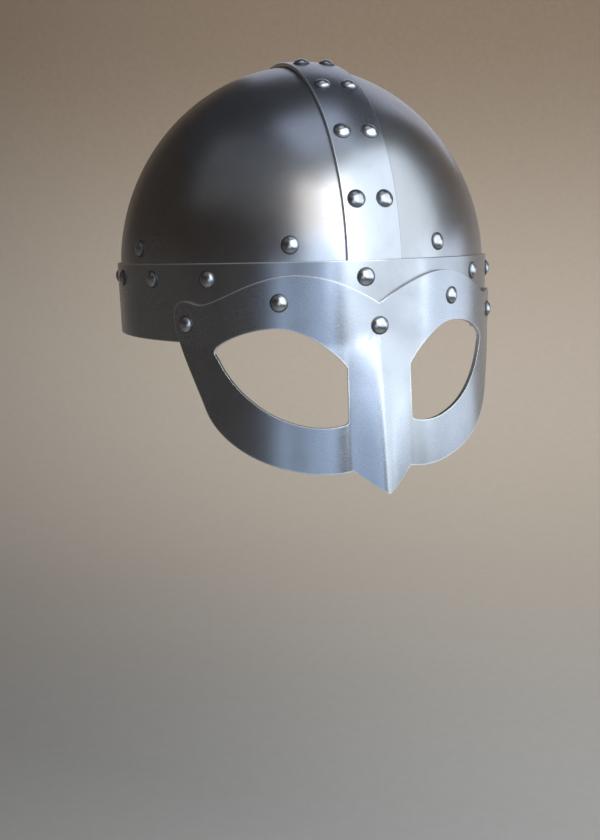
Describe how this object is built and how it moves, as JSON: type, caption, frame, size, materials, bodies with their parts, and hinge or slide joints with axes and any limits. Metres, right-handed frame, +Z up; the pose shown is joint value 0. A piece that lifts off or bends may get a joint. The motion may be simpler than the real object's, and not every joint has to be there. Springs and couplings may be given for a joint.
{
  "type": "viking helmet",
  "caption": "Riveted iron helmet of the Norse spectacle kind: half-shell bowl, crest and brow bands, eye guard, and a laced leather lining.",
  "frame": {"origin": "middle of the rim's plane, where the head enters, at the brow band's lower edge", "axes": "+Z up to the crown, the face looks along -Y, +X is the wearer's left"},
  "size_m": [0.2108, 0.2452, 0.2151],
  "materials": {
    "dome_steel": "satin, hand finished",
    "band_steel": "satin, hand finished",
    "guard_steel": "satin, hand finished",
    "rivet_steel": "polished by handling",
    "burr_steel": "bright",
    "leather": "oiled vegetable tanned",
    "thong": "waxed lace"
  },
  "bodies": {
    "root": {"dome_plate_left": "dome_steel", "dome_plate_right": "dome_steel", "crest_band": "band_steel", "brow_band": "band_steel", "spectacle_guard": "guard_steel", "crest_rivets_left": "rivet_steel", "crest_rivets_right": "rivet_steel", "brow_rivets": "rivet_steel", "brow_joint_rivets": "rivet_steel", "guard_nose_rivet": "rivet_steel", "guard_brow_rivets": "rivet_steel", "guard_temple_rivets": "rivet_steel", "lining_rivets": "rivet_steel", "lining_burrs": "burr_steel", "sweatband": "leather", "tongue_front_left": "leather", "tongue_temple_left": "leather", "tongue_ear_left": "leather", "tongue_back_left": "leather", "tongue_front_right": "leather", "tongue_temple_right": "leather", "tongue_ear_right": "leather", "tongue_back_right": "leather", "crown_thong": "thong"}
  },
  "joints": []
}
